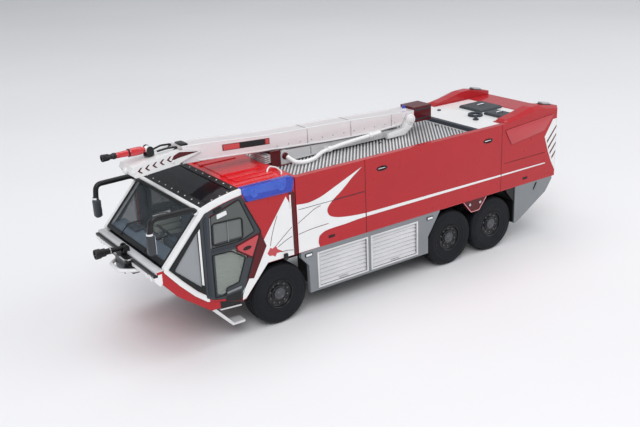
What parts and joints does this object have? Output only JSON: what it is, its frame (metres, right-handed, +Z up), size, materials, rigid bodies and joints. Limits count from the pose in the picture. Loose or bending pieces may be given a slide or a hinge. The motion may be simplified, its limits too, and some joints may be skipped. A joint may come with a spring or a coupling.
{
  "type": "scale model airport fire truck with folding boom",
  "caption": "Die-cast scale model of an airport fire truck with rolling wheels, linked steering, a folding high-reach boom with a sliding nose, and two swivelling water nozzles.",
  "frame": {"origin": "on the ground under the middle of the whole model's box", "axes": "+X forward, +Y to the truck's left, +Z up"},
  "size_m": [0.2408, 0.06, 0.0819],
  "materials": {
    "red_paint": "glossy red",
    "roof_red": "glossy bright red",
    "dark_red": "glossy dark red",
    "white_paint": "glossy off-white",
    "skirt_grey": "satin mid grey",
    "silver": "satin silver",
    "frame_black": "satin near-black",
    "black_plastic": "satin black",
    "dark_grey": "satin dark grey",
    "interior": "matte blue-grey",
    "clear": "clear glazing",
    "blue_lens": "translucent blue",
    "tyre_rubber": "satin black rubber",
    "rim_dark": "satin dark grey"
  },
  "bodies": {
    "truck": {"arch_liners": "black_plastic", "axle_brackets": "dark_red", "blue_lights": "blue_lens", "boom_clevis": "silver", "bow_panel": "red_paint", "bumper": "white_paint", "cab_body": "red_paint", "cab_steps": "silver", "dashboard": "interior", "deck_plate": "silver", "door_left": "dark_grey", "door_right": "dark_grey", "frame": "frame_black", "front_axle_beam": "frame_black", "guard_hoop": "white_paint", "lid_hatches": "dark_grey", "mirrors": "black_plastic", "pedestal": "dark_red", "pedestal_louvre": "silver", "pillar_frame": "white_paint", "rear_fins": "red_paint", "rear_grille": "black_plastic", "rear_lid": "white_paint", "rear_lights": "dark_grey", "rear_skirts": "skirt_grey", "roof_glass": "clear", "roof_panel": "roof_red", "seats": "interior", "shutters": "silver", "side_glass": "clear", "skirt_left": "skirt_grey", "skirt_right": "skirt_grey", "steering_wheel": "black_plastic", "tank_body": "red_paint", "turret_tray": "black_plastic", "windscreen": "clear"},
    "front_wheel_left": {"front_rim_left": "rim_dark", "front_tyre_left": "tyre_rubber"},
    "front_wheel_right": {"front_rim_right": "rim_dark", "front_tyre_right": "tyre_rubber"},
    "knuckle_body_left": {"knuckle_left": "frame_black"},
    "knuckle_body_right": {"knuckle_right": "frame_black"},
    "tie_rod_body": {"tie_rod": "frame_black"},
    "middle_axle": {"middle_wheelset": "rim_dark", "middle_tyre_left": "tyre_rubber", "middle_tyre_right": "tyre_rubber"},
    "rear_axle": {"rear_wheelset": "rim_dark", "rear_tyre_left": "tyre_rubber", "rear_tyre_right": "tyre_rubber"},
    "lower_boom_body": {"lower_boom": "silver", "water_pipe": "white_paint"},
    "upper_boom_body": {"upper_boom": "white_paint", "boom_tail": "dark_red", "beacon": "blue_lens"},
    "nose_body": {"nose_boom": "white_paint", "nose_guard": "white_paint"},
    "nozzle_swivel": {"nozzle_base": "black_plastic"},
    "nozzle": {"nozzle_barrel": "black_plastic"},
    "turret_swivel": {"turret_base": "black_plastic"},
    "turret": {"turret_barrel": "black_plastic"}
  },
  "joints": [
    {"name": "steer_left", "type": "hinge", "parent": "truck", "child": "knuckle_body_left", "pos_m": [0.0523, 0.0175, 0.0138], "axis": [0, 0, 1], "range_deg": [-20, 20]},
    {"name": "steer_right", "type": "hinge", "parent": "truck", "child": "knuckle_body_right", "pos_m": [0.0523, -0.0175, 0.0138], "axis": [0, 0, 1], "range_deg": [-20, 20]},
    {"name": "tie_rod_pivot", "type": "hinge", "parent": "knuckle_body_left", "child": "tie_rod_body", "pos_m": [0.0443, 0.0175, 0.01], "axis": [0, 0, 1], "range_deg": [-20, 20]},
    {"name": "front_left_spin", "type": "hinge", "parent": "knuckle_body_left", "child": "front_wheel_left", "pos_m": [0.0523, 0.02425, 0.0138], "axis": [0, 1, 0], "continuous": true},
    {"name": "front_right_spin", "type": "hinge", "parent": "knuckle_body_right", "child": "front_wheel_right", "pos_m": [0.0523, -0.02425, 0.0138], "axis": [0, 1, 0], "continuous": true},
    {"name": "middle_axle_spin", "type": "hinge", "parent": "truck", "child": "middle_axle", "pos_m": [-0.04495, 0, 0.0138], "axis": [0, 1, 0], "continuous": true},
    {"name": "rear_axle_spin", "type": "hinge", "parent": "truck", "child": "rear_axle", "pos_m": [-0.07335, 0, 0.0138], "axis": [0, 1, 0], "continuous": true},
    {"name": "boom_lift", "type": "hinge", "parent": "truck", "child": "lower_boom_body", "pos_m": [0.03205, 0, 0.0662], "axis": [0, 1, 0], "range_deg": [0, 55]},
    {"name": "elbow", "type": "hinge", "parent": "lower_boom_body", "child": "upper_boom_body", "pos_m": [-0.03945, 0, 0.0698], "axis": [0, -1, 0], "range_deg": [0, 94]},
    {"name": "nose_slide", "type": "slide", "parent": "upper_boom_body", "child": "nose_body", "axis": [0.9987, 0, 0.0513], "range_m": [0, 0.04]},
    {"name": "nozzle_pan", "type": "hinge", "parent": "nose_body", "child": "nozzle_swivel", "pos_m": [0.09265, 0, 0.0802], "axis": [0, 0, 1], "range_deg": [-60, 60]},
    {"name": "nozzle_tilt", "type": "hinge", "parent": "nozzle_swivel", "child": "nozzle", "pos_m": [0.09265, 0, 0.0802], "axis": [0, -1, 0], "range_deg": [-5, 60]},
    {"name": "turret_pan", "type": "hinge", "parent": "truck", "child": "turret_swivel", "pos_m": [0.10765, 0, 0.0416], "axis": [0, 0, 1], "range_deg": [-60, 60]},
    {"name": "turret_tilt", "type": "hinge", "parent": "turret_swivel", "child": "turret", "pos_m": [0.10765, 0, 0.0416], "axis": [0, -1, 0], "range_deg": [-5, 45]}
  ],
  "couplings": [
    {"joint": "steer_right", "follows": "steer_left", "ratio": 1},
    {"joint": "tie_rod_pivot", "follows": "steer_left", "ratio": -1},
    {"joint": "elbow", "follows": "boom_lift", "ratio": 1.7}
  ]
}
